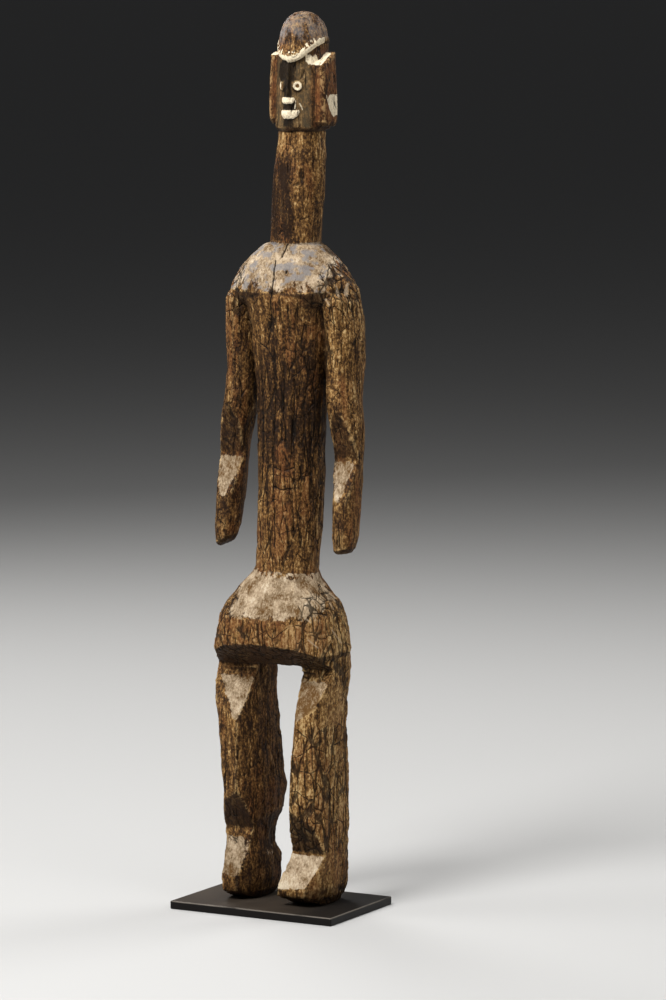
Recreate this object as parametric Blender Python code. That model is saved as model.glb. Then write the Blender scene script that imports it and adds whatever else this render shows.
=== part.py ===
"""A standing carved wooden figure on a flat steel base plate. Metres, +Z up, the figure faces -Y.

The figure is one solid: a round trunk under a sloping shoulder mantle, two hanging arms, a hooded
block for the pelvis, two column legs, a neck, and a wedge-shaped head with ear flaps and a cap.
V-shaped notches cut the elbows, the thighs and the ankles, as an adze leaves them. The origin is
under the middle of the plate.
"""

from dataclasses import dataclass
from math import cos, pi, radians, sin

import bmesh
import bpy
from mathutils import Matrix, Vector

# Driving dimensions, in metres
FIGURE_HEIGHT = 1.060
PLATE_WIDTH = 0.220
PLATE_DEPTH = 0.152
PLATE_THICKNESS = 0.010
PLATE_ARRIS = 0.0012
SEAT_GAP = 0.0003

# The carving is given in shares: one share is a thousandth of the figure's height
SHARE = FIGURE_HEIGHT / 1000
SOLE_LEVEL = PLATE_THICKNESS + SEAT_GAP

# Heights above the soles, in shares
CROWN = 1000
CAP_RIM_SIDE = 966
CAP_RIM_PEAK = 945
EYE_LINE = 918
CHIN = 871
NECK_FOOT = 744
YOKE_EDGE = 690
ELBOW_CREASE = 504
FINGER_TIP = 399
WAIST = 374
PELVIS_RIDGE = 326
PELVIS_HEM = 287
THIGH_CREASE = 268
CROTCH = 270

# How the centre line of the trunk, neck and head leans: height, sideways, backwards
LEAN = (
    (0, 1, 0),
    (240, 1, 0),
    (330, 3, 0),
    (376, 8.5, 1),
    (400, 10, 1),
    (450, 12.5, 2),
    (504, 13.5, 2),
    (600, 15, 3),
    (744, 16.5, 5),
    (800, 19.5, 7),
    (871, 24, 9),
    (1000, 24.5, 10),
)

ROUND = 2.0
FULL = 2.5
TRUNK_SIDES = 24
LIMB_SIDES = 18
PELVIS_SIDES = 16
CAP_SIDES = 22
HEWN_WAVE = 0.014
CUT_REACH = 95
CHEEK_SLOPE = 0.67
FACE_RIDGE = 35.3
EYE_SPREAD = 8.8
UPPER_LIP = ((898.5, -7, 4.5, 2.2), (900.5, -9.4, 6.8, 3.2), (905, -9.4, 6.8, 2.6))
LOWER_LIP = ((882, -6, 6, 1.8), (886, -9.4, 10.5, 3.4), (891, -9.4, 11.5, 3.0))
SMOOTH_BELOW = radians(17)

WOOD_COLOUR = (0.115, 0.068, 0.038, 1)
STEEL_COLOUR = (0.018, 0.016, 0.015, 1)


@dataclass
class Section:
    """One level of a carved form, in shares, with x and y measured from the form's own line.

    square is 2 for an oval and more for a squarer outline. roll and pitch tilt the level: they
    are its rise for each share sideways and backwards.
    """

    height: float
    across: float
    front: float
    back: float
    x: float = 0.0
    y: float = 0.0
    square: float = ROUND
    roll: float = 0.0
    pitch: float = 0.0


@dataclass
class LegLevel:
    """One level of a leg, in shares from the figure's middle: its sides, and its flat front.

    set_back is how far forward the outer end of the front reaches, as a part of the inner end.
    """

    height: float
    inner: float
    outer: float
    front: float
    back: float
    front_inner: float = 34.0
    front_outer: float = 60.0
    set_back: float = 0.88


def clear_scene():
    for old in list(bpy.data.objects):
        bpy.data.objects.remove(old, do_unlink=True)


def blend(low, high, share):
    return low + (high - low) * share


def lean_at(height):
    """Sideways and backwards offset of the figure's centre line at a height, in shares."""
    for (z0, x0, y0), (z1, x1, y1) in zip(LEAN, LEAN[1:]):
        if height <= z1:
            share = max(0.0, (height - z0) / (z1 - z0))
            return blend(x0, x1, share), blend(y0, y1, share)
    return LEAN[-1][1], LEAN[-1][2]


def place(x, y, height):
    """A point of the figure, given in shares, as a place in metres."""
    return Vector((x * SHARE, y * SHARE, SOLE_LEVEL + height * SHARE))


def hewn(angle, height):
    """The slight unevenness that hand carving leaves on a round form."""
    return 1 + HEWN_WAVE * (sin(3 * angle + height / 37) + sin(5 * angle - height / 23)) / 2


def rounded_square(angle, power):
    """A point on a unit rounded square; power 2 gives a circle."""
    c, s = cos(angle), sin(angle)
    exponent = 2 / power
    x = abs(c) ** exponent * (1 if c >= 0 else -1)
    y = abs(s) ** exponent * (1 if s >= 0 else -1)
    return x, y


def oval_ring(section, sides):
    """The outline of one section; its front half faces -Y."""
    lean_x, lean_y = lean_at(section.height)
    points = []
    for step in range(sides):
        angle = 2 * pi * (step + 0.5) / sides
        x, y = rounded_square(angle, section.square)
        grain = hewn(angle, section.height)
        x *= section.across * grain
        y *= (section.front if y < 0 else section.back) * grain
        height = section.height + section.roll * x + section.pitch * y
        points.append(place(section.x + lean_x + x, section.y + lean_y + y, height))
    return points


def leg_ring(level, side):
    """The outline of one leg level: flat in front, sloping in to a rounder back."""
    inner, outer, front, back = level.inner, level.outer, level.front, level.back
    outline = (
        (level.front_inner, -front),
        (level.front_outer, -front * level.set_back),
        (blend(level.front_outer, outer, 0.7), -front * 0.62),
        (outer, -front * 0.2),
        (outer, back * 0.35),
        (outer - 2, back * 0.72),
        (blend(inner, outer, 0.72), back * 0.95),
        (blend(inner, outer, 0.48), back),
        (blend(inner, outer, 0.24), back * 0.96),
        (inner + 2, back * 0.8),
        (inner, back * 0.2),
        (blend(inner, level.front_inner, 0.12), -front * 0.33),
        (blend(inner, level.front_inner, 0.45), -front * 0.7),
    )
    lean_x, lean_y = lean_at(level.height)
    return [place(side * x + lean_x, y + lean_y, level.height) for x, y in outline]


def new_object(name, mesh):
    made = bpy.data.objects.new(name, mesh)
    bpy.context.scene.collection.objects.link(made)
    return made


def finish_mesh(name, shape):
    bmesh.ops.triangulate(shape, faces=[f for f in shape.faces if len(f.verts) > 4])
    bmesh.ops.recalc_face_normals(shape, faces=shape.faces)
    mesh = bpy.data.meshes.new(name)
    shape.to_mesh(mesh)
    shape.free()
    return new_object(name, mesh)


def skin_rings(name, rings):
    """A closed solid through rings of points, listed from the lowest up."""
    shape = bmesh.new()
    levels = [[shape.verts.new(point) for point in ring] for ring in rings]
    count = len(rings[0])
    for low, high in zip(levels, levels[1:]):
        for i in range(count):
            j = (i + 1) % count
            shape.faces.new((low[i], low[j], high[j], high[i]))
    shape.faces.new(list(reversed(levels[0])))
    shape.faces.new(levels[-1])
    return finish_mesh(name, shape)


def loft(name, sections, sides):
    return skin_rings(name, [oval_ring(section, sides) for section in sections])


def mirrored(sections, side):
    """The same sections for the figure's left (side 1) or right (side -1)."""
    for section in sections:
        section.x *= side
        section.roll *= side
    return sections


def guide(made):
    """A piece that is only joined to the figure or cut from it, and isn't shown itself."""
    made.hide_render = True
    made.display_type = "WIRE"
    return made


def join(target, *pieces):
    for piece in pieces:
        modifier = target.modifiers.new(f"join {piece.name}", "BOOLEAN")
        modifier.operation = "UNION"
        modifier.object = guide(piece)


def cut(target, *pieces):
    for piece in pieces:
        modifier = target.modifiers.new(f"cut {piece.name}", "BOOLEAN")
        modifier.operation = "DIFFERENCE"
        modifier.object = guide(piece)


def notch(name, x, crease, above, below, half_width, turn=0.0, facing=-1):
    """A V-shaped cutter that opens to the front (facing -1) or to the back (facing 1).

    crease, above and below are (depth, height) in shares: the bottom of the V, and a point that
    its upper and its lower plane pass through. turn swings it about its own crease.
    """
    def reach(point):
        rise = (point[1] - crease[1]) / (point[0] - crease[0])
        return CUT_REACH, crease[1] + rise * (CUT_REACH - crease[0])

    profile = (crease, reach(above), reach(below))
    spin = Matrix.Rotation(turn, 3, "Z")
    middle = Vector((x, facing * crease[0], 0))
    shape = bmesh.new()
    ends = []
    for side in (-half_width, half_width):
        spots = [middle + spin @ Vector((side, facing * (depth - crease[0]), 0)) for depth, _ in profile]
        ends.append([shape.verts.new(place(s.x, s.y, p[1])) for s, p in zip(spots, profile)])
    left, right = ends
    shape.faces.new(left)
    shape.faces.new(list(reversed(right)))
    for i in range(3):
        j = (i + 1) % 3
        shape.faces.new((left[j], left[i], right[i], right[j]))
    return finish_mesh(name, shape)


def build_trunk():
    """The column of the body, widening into the chest."""
    return loft("trunk", (
        Section(WAIST - 14, 36, 35, 34),
        Section(WAIST + 6, 36.5, 35.5, 34),
        Section(410, 37, 36.5, 35.5),
        Section(470, 38, 37.5, 36.5),
        Section(530, 38.5, 38, 37),
        Section(575, 40.5, 38, 37),
        Section(612, 45, 41, 39),
        Section(650, 49, 45.5, 42),
        Section(673, 54, 48.5, 43, square=2.2),
        Section(YOKE_EDGE - 2, 63, 50.5, 43, square=2.2),
        Section(YOKE_EDGE + 5, 56, 45, 40, square=2.2),
    ), TRUNK_SIDES)


def build_yoke():
    """The sloping shoulder mantle between the neck and the arms."""
    return loft("yoke", (
        Section(650, 44, 24, 24, y=4),
        Section(670, 62, 34, 33, y=3),
        Section(YOKE_EDGE - 9, 77.5, 46, 42, y=1),
        Section(YOKE_EDGE, 79.5, 51.5, 44.5),
        Section(703, 73, 46.5, 43, x=-1),
        Section(717, 63, 41, 39, x=-1.5),
        Section(729, 51, 35.5, 35, x=-1.5),
        Section(NECK_FOOT - 3, 36, 31.5, 31.5, x=-1),
        Section(NECK_FOOT + 1, 24, 24, 24),
    ), TRUNK_SIDES + 4)


def build_neck():
    return loft("neck", (
        Section(NECK_FOOT - 14, 29, 29, 29),
        Section(NECK_FOOT + 4, 29, 29, 29),
        Section(778, 29.5, 30, 29),
        Section(812, 29.5, 30, 29),
        Section(845, 28.3, 28.6, 28.3),
        Section(853, 26.8, 26.8, 26.8),
        Section(CHIN + 12, 26.5, 26.5, 26.5),
    ), TRUNK_SIDES)


def build_arm(side):
    """One hanging arm, narrow from side to side. side is 1 for the figure's left, -1 for its right."""
    tip = FINGER_TIP if side > 0 else FINGER_TIP + 4
    slant = 0.15 if side > 0 else -0.5
    splay = 1.5 if side > 0 else 2.0
    return loft("arm_left" if side > 0 else "arm_right", mirrored((
        Section(tip, 8, 10, 9, 74 + splay, -8, roll=slant),
        Section(tip + 4, 12, 15, 13, 74 + splay, -8, roll=slant),
        Section(tip + 20, 13.8, 18.5, 18, 74 + splay, -7, roll=slant / 3),
        Section(470, 14.5, 20, 19, 72.5 + splay, -3.5, FULL),
        Section(518, 16.5, 23, 22, 71 + splay, 0),
        Section(548, 18.5, 25, 24, 67.5 + splay, 0),
        Section(572, 19, 26, 26, 65, 1),
        Section(600, 19.5, 27, 28, 63.5, 4),
        Section(636, 20.5, 30, 30, 63.5, 4),
        Section(660, 20.5, 32.5, 29, 62.5, 2.5),
        Section(680, 19, 34, 26.5, 60.5, 1),
        Section(YOKE_EDGE + 4, 14, 30, 22, 57, 1),
    ), side), LIMB_SIDES)


def build_pelvis():
    """The hooded block over the legs, with its hem hanging lower at the sides than in front."""
    return loft("pelvis", (
        Section(CROTCH, 72.5, 52, 49, square=2.9),
        Section(PELVIS_HEM, 78, 57, 55, square=2.8),
        Section(306, 76, 59.5, 56, square=FULL),
        Section(PELVIS_RIDGE, 71.5, 58.5, 55, square=FULL),
        Section(341, 64.5, 51, 51, square=FULL),
        Section(355, 51.5, 44, 43, square=FULL, roll=-0.04),
        Section(WAIST - 5, 41, 38, 37, roll=-0.09),
        Section(WAIST + 3, 37, 36.5, 35.5, roll=-0.09),
    ), PELVIS_SIDES)


def build_leg(side):
    """One column leg down to its sole. side is 1 for the figure's left, -1 for its right."""
    if side > 0:
        levels = (
            LegLevel(0, 23, 62, 32, 39, 19, 46, 1.0),
            LegLevel(8, 20, 66, 39, 42, 15, 50, 1.0),
            LegLevel(22, 19, 70, 42, 43, 15, 53, 1.0),
            LegLevel(42, 21, 72, 43, 41, 23, 58, 0.97),
            LegLevel(58, 23, 73, 43, 39, 30, 61, 0.92),
            LegLevel(76, 23, 73.5, 44, 39, 34, 61),
            LegLevel(98, 22, 74, 44, 42, 34, 62),
            LegLevel(125, 20, 73, 44, 42, 34.5, 62),
            LegLevel(152, 21, 72.5, 44, 40, 35, 62),
            LegLevel(180, 25, 72, 43, 38, 38, 62),
            LegLevel(205, 28, 71.5, 42, 37, 39.5, 62),
            LegLevel(232, 30, 73, 41, 38, 43, 63),
            LegLevel(266, 32, 76.5, 40, 38, 45, 65),
            LegLevel(294, 32, 74, 34, 34, 44, 60),
        )
    else:
        levels = (
            LegLevel(0, 24, 60, 28, 40, 41, 55, 1.0),
            LegLevel(8, 20, 62, 35, 44, 39, 57, 1.0),
            LegLevel(24, 17, 63, 38, 44, 38, 57.5, 1.0),
            LegLevel(46, 17, 62, 39, 42, 36, 55, 0.95),
            LegLevel(60, 20, 62, 40, 33, 34, 52),
            LegLevel(72, 20, 62, 41, 31, 34, 52),
            LegLevel(85, 19, 62, 42, 38, 34, 53),
            LegLevel(98, 15, 62, 43, 47, 34, 54),
            LegLevel(125, 13, 62, 44, 50, 34, 54),
            LegLevel(152, 15, 64, 44, 44, 34, 57),
            LegLevel(180, 17, 66, 44, 43, 34, 58),
            LegLevel(205, 19, 69, 43, 43, 34, 60),
            LegLevel(232, 22, 74, 41, 42, 34, 66),
            LegLevel(266, 22, 76.5, 40, 42, 34, 69),
            LegLevel(294, 26, 74, 34, 36, 36, 60),
        )
    name = "leg_left" if side > 0 else "leg_right"
    return skin_rings(name, [leg_ring(level, side) for level in levels])


def face_ring(height, width, nose, cheek, back):
    """A level of the head: two flat cheeks that meet in a ridge in front, and a rounded back."""
    half = (
        (0.33 * width, -blend(nose, cheek, 0.42)),
        (0.82 * width, -cheek),
        (width, -cheek * 0.45),
        (width, back * 0.4),
        (0.74 * width, back * 0.84),
        (0.34 * width, back * 0.98),
    )
    lean_x, lean_y = lean_at(height)
    outline = [(0, -nose), *half, *((-x, y) for x, y in reversed(half))]
    return [place(x + lean_x, y + lean_y, height) for x, y in outline]


def build_head():
    """The wedge-shaped head under the cap."""
    levels = (
        (CHIN - 2, 27, 32.5, 22, 29.5),
        (CHIN + 3, 28, 34.5, 22, 31.5),
        (CHIN + 16, 28, 35, 21, 32),
        (905, 28, 35.5, 21, 32),
        (EYE_LINE, 27.5, 35, 20.5, 32),
        (938, 26.5, 34, 20, 31.5),
        (CAP_RIM_SIDE + 6, 24, 29, 18, 28),
    )
    return skin_rings("head", [face_ring(*level) for level in levels])


def build_ear(side):
    """One thick flap at the side of the head. side is 1 for the figure's left, -1 for its right."""
    if side > 0:
        sections = (
            Section(873, 7.5, 15, 9, 30.5, 0, 4),
            Section(878, 8.8, 18, 12, 30.3, 0, 4),
            Section(892, 8.6, 19, 12.5, 30, 0, 5),
            Section(925, 8, 19.5, 11.5, 29.8, 0, 5),
            Section(951, 7.4, 19.5, 9.5, 29.2, 0, 5, pitch=0.52),
        )
    else:
        sections = (
            Section(877, 5.5, 15, 13, 27, 0, 4, roll=-0.5),
            Section(882, 7, 18, 16, 27.5, 0, 4, roll=-0.5),
            Section(894, 7.2, 19, 16, 27.5, 0, 5),
            Section(925, 6.8, 19.3, 15, 27.3, 0, 5),
            Section(956, 6, 18.5, 13, 26.8, 0, 5, pitch=0.2),
        )
    return loft("ear_left" if side > 0 else "ear_right", mirrored(sections, side), 20)


def cap_ring(across, front, back, rise, dip=1.0):
    """A level of the cap. Towards its rim the front dips to a peak over the nose, like a V."""
    lean_x, lean_y = lean_at(CAP_RIM_SIDE)
    fall = (CAP_RIM_SIDE - CAP_RIM_PEAK) * dip
    points = []
    for step in range(CAP_SIDES):
        angle = 2 * pi * (step + 0.5) / CAP_SIDES
        x, y = cos(angle), sin(angle)
        drop = fall * (max(0.0, -y) ** 1.6 + 0.35 * max(0.0, y) ** 2)
        place_x = lean_x + 0.5 + x * across * hewn(angle, rise)
        place_y = lean_y + y * (front if y < 0 else back) * hewn(angle, rise)
        points.append(place(place_x, place_y, CAP_RIM_SIDE + rise - drop))
    return points


def build_cap():
    """The domed cap, whose rim stands out a little over the forehead."""
    return skin_rings("cap", (
        cap_ring(20, 25, 22, 2),
        cap_ring(26.5, 36, 31, 0),
        cap_ring(27, 37, 32, 5, dip=0.95),
        cap_ring(25.6, 34.5, 30.5, 7.5, dip=0.85),
        cap_ring(24.6, 31.5, 29, 14, dip=0.5),
        cap_ring(21, 27, 25.5, 22, dip=0.2),
        cap_ring(15.5, 20, 19.5, 28.5, dip=0.05),
        cap_ring(9, 12, 12, 32.5, dip=0.0),
        cap_ring(3, 4, 4, 34, dip=0.0),
    ))


def build_nose():
    """The narrow ridge of the nose, from the brow to above the mouth."""
    sections = (
        Section(905, 2.6, 34.5, -28, 0, 0, 3),
        Section(908, 3.3, 38.2, -28, 0, 0, 3),
        Section(EYE_LINE, 3.0, 37.6, -28, 0, 0, 3),
        Section(934, 3.3, 36.8, -28, 0, 0, 3),
        Section(943, 2.8, 36.0, -28, 0, 0, 3),
    )
    return loft("nose", sections, 12)


def build_eye(side):
    """A shallow ring round one eye, standing square to its cheek."""
    lean_x, lean_y = lean_at(EYE_LINE)
    swing = side * radians(33)
    middle = Vector((lean_x + side * EYE_SPREAD, lean_y - FACE_RIDGE + CHEEK_SLOPE * EYE_SPREAD, 0))
    axis = Vector((sin(swing), -cos(swing), 0))
    shape = bmesh.new()
    turn = axis.to_track_quat("Z", "Y").to_matrix().to_4x4()
    spot = Matrix.Translation(place(middle.x, middle.y, EYE_LINE)) @ turn
    bmesh.ops.create_cone(
        shape, cap_ends=True, segments=20, radius1=6.4 * SHARE, radius2=5.6 * SHARE,
        depth=4 * SHARE, matrix=spot,
    )
    return finish_mesh("eye", shape), axis, middle


def build_pupil(axis, middle):
    """The sunken middle of one eye."""
    shape = bmesh.new()
    turn = axis.to_track_quat("Z", "Y").to_matrix().to_4x4()
    out = middle + axis * 3
    spot = Matrix.Translation(place(out.x, out.y, EYE_LINE)) @ turn
    bmesh.ops.create_cone(
        shape, cap_ends=True, segments=14, radius1=2.4 * SHARE, radius2=3.2 * SHARE,
        depth=4.4 * SHARE, matrix=spot,
    )
    return finish_mesh("pupil", shape)


def build_lip(name, levels):
    """One lip, folded over the ridge of the face; levels are (height, right end, left end, reach)."""
    rings = []
    for height, right, left, reach in levels:
        lean_x, lean_y = lean_at(height)
        outline = (
            (right, -FACE_RIDGE - CHEEK_SLOPE * right - reach),
            (0, -FACE_RIDGE - reach),
            (left, -FACE_RIDGE + CHEEK_SLOPE * left - reach),
            (left, -18),
            (right, -18),
        )
        rings.append([place(x + lean_x, y + lean_y, height) for x, y in outline])
    return skin_rings(name, rings)


def build_notches():
    """The adze cuts at the elbows, under the pelvis, and at the ankles."""
    lean_x, lean_y = lean_at(ELBOW_CREASE)
    cutters = []
    for side in (1, -1):
        arm = side * 72 + lean_x
        cutters.append(notch(
            "elbow", arm, (4.5, ELBOW_CREASE), (23.5, ELBOW_CREASE + 58), (24.5, ELBOW_CREASE - 54), 24,
        ))
    hem = (57, PELVIS_HEM + 8)
    cutters.append(notch("hem", 0, (15, THIGH_CREASE), hem, (25, THIGH_CREASE - 18), 95))
    cutters.append(notch("thigh_right", -52, (16, 263), (57, 289), (43, 209), 38, radians(4)))
    cutters.append(notch("thigh_left", 58, (16, 262), (57, 287), (45, 208), 36, radians(-10)))
    cutters.append(notch("ankle_right", -44, (24, 82), (45, 128), (38, 27), 30, radians(3)))
    cutters.append(notch("ankle_left", 44, (24, 59), (45, 112), (42, 20), 36, radians(-3)))
    for side, front in ((1, 12), (-1, 8)):
        cutters.append(notch("toe", side * 44, (front, -1), (40, 11), (40, -30), 45))
        cutters.append(notch("heel", side * 44, (24, -1), (42, 7), (42, -30), 45, facing=1))
    return cutters


def settle(figure):
    """Turns the joined and cut solid into one plain mesh, and clears the guides away."""
    bpy.context.view_layer.update()
    graph = bpy.context.evaluated_depsgraph_get()
    mesh = bpy.data.meshes.new_from_object(figure.evaluated_get(graph))
    guides = [modifier.object for modifier in figure.modifiers]
    figure.modifiers.clear()
    figure.data = mesh
    for old in guides:
        bpy.data.objects.remove(old, do_unlink=True)
    mesh.name = figure.name
    mesh.shade_smooth()
    mesh.set_sharp_from_angle(angle=SMOOTH_BELOW)


def build_figure():
    figure = build_trunk()
    figure.name = "figure"
    join(figure, build_yoke(), build_neck(), build_pelvis())
    for side in (1, -1):
        join(figure, build_arm(side), build_leg(side))
    join(figure, build_head(), build_ear(1), build_ear(-1), build_cap(), build_nose())
    join(figure, build_lip("upper_lip", UPPER_LIP), build_lip("lower_lip", LOWER_LIP))
    cut(figure, *build_notches())
    for side in (1, -1):
        eye, axis, middle = build_eye(side)
        join(figure, eye)
        cut(figure, build_pupil(axis, middle))
    settle(figure)
    return figure


def build_plate():
    """The flat plate that the figure stands on."""
    shape = bmesh.new()
    size = Matrix.Diagonal((PLATE_WIDTH, PLATE_DEPTH, PLATE_THICKNESS, 1))
    bmesh.ops.create_cube(shape, size=1, matrix=Matrix.Translation((0, 0, PLATE_THICKNESS / 2)) @ size)
    bmesh.ops.bevel(
        shape, geom=list(shape.edges), offset=PLATE_ARRIS, segments=2, profile=0.5, affect="EDGES"
    )
    return finish_mesh("base_plate", shape)


def dress(target, name, colour, roughness, metallic=0.0):
    material = bpy.data.materials.new(name)
    material.use_nodes = True
    surface = material.node_tree.nodes["Principled BSDF"]
    surface.inputs["Base Color"].default_value = colour
    surface.inputs["Roughness"].default_value = roughness
    surface.inputs["Metallic"].default_value = metallic
    target.data.materials.clear()
    target.data.materials.append(material)


clear_scene()
dress(build_figure(), "carved_wood", WOOD_COLOUR, 0.72)
dress(build_plate(), "blackened_steel", STEEL_COLOUR, 0.5, 0.6)
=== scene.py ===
"""A tall carved figure of dark crusted wood on a blackened steel plate, dressed over its solids.

The figure's solid is copied, given an even skin, carved with adze scallops, cracks and worn edges,
and painted by fields of the place on it. Places inside the fields are in millimetres in the frame:
the figure faces -Y, its left is +X, and the plate's underside is at zero.
"""

import logging
import math
from dataclasses import dataclass
from enum import Enum
from functools import reduce
from typing import Iterable, Optional, Sequence, Union

import bmesh
import bpy
import numpy as np
from mathutils import Matrix, Vector
from mathutils.bvhtree import BVHTree


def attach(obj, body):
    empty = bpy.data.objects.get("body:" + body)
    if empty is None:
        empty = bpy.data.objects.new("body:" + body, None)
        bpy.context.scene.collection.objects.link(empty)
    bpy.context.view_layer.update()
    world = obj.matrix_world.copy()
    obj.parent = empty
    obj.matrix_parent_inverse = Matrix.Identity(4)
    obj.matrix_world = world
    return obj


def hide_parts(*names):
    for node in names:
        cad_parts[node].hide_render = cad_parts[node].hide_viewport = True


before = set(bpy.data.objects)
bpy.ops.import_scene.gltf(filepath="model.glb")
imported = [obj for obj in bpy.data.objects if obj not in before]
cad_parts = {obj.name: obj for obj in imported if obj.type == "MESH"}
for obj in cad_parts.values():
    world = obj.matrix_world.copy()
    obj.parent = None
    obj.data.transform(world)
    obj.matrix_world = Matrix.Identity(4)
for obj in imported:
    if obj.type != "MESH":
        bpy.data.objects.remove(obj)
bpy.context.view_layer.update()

LOG = logging.getLogger("figure")
MM = 0.001

Point = tuple[float, float, float]
Colour = tuple[float, float, float, float]
Number = Union["Field", float]


def srgb(red: float, green: float, blue: float) -> Colour:
    """The linear colour, with full alpha, of one that is given as a screen shows it, from 0 to 255."""
    parts = [part / 255 for part in (red, green, blue)]
    return (*(p / 12.92 if p <= 0.04045 else ((p + 0.055) / 1.055) ** 2.4 for p in parts), 1.0)


class Field:
    """A number that changes over the surface: a socket that takes part in Python expressions."""

    def __init__(self, tree: "Tree", socket: bpy.types.NodeSocket) -> None:
        """Wraps one socket of a tree."""
        self.tree = tree
        self.socket = socket

    def __add__(self, other: Number) -> "Field":
        """The sum."""
        return self.tree.math("ADD", self, other)

    def __radd__(self, other: Number) -> "Field":
        """The sum, with the number first."""
        return self.tree.math("ADD", other, self)

    def __sub__(self, other: Number) -> "Field":
        """The difference."""
        return self.tree.math("SUBTRACT", self, other)

    def __rsub__(self, other: Number) -> "Field":
        """The difference, with the number first."""
        return self.tree.math("SUBTRACT", other, self)

    def __mul__(self, other: Number) -> "Field":
        """The product."""
        return self.tree.math("MULTIPLY", self, other)

    def __rmul__(self, other: Number) -> "Field":
        """The product, with the number first."""
        return self.tree.math("MULTIPLY", other, self)

    def __truediv__(self, other: Number) -> "Field":
        """The quotient."""
        return self.tree.math("DIVIDE", self, other)

    def __pow__(self, other: Number) -> "Field":
        """The power."""
        return self.tree.math("POWER", self, other)

    def __neg__(self) -> "Field":
        """The same number with its sign turned."""
        return self.tree.math("MULTIPLY", self, -1.0)

    def __abs__(self) -> "Field":
        """The number without its sign."""
        return self.tree.math("ABSOLUTE", self)

    def clamped(self) -> "Field":
        """The number kept between 0 and 1."""
        return self.tree.math("ADD", self, 0.0, clamp=True)

    def above(self, edge: float, soft: float) -> "Field":
        """A step up from 0 to 1, half way at the edge and as soft as given to either side."""
        return self.tree.step(self, edge - soft, edge + soft)

    def below(self, edge: float, soft: float) -> "Field":
        """A step down from 1 to 0, half way at the edge and as soft as given to either side."""
        return self.tree.step(self, edge + soft, edge - soft)

    def between(self, low: float, high: float, soft: float) -> "Field":
        """1 between two edges and 0 outside them, with a soft step at each."""
        return self.above(low, soft) * self.below(high, soft)


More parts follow.
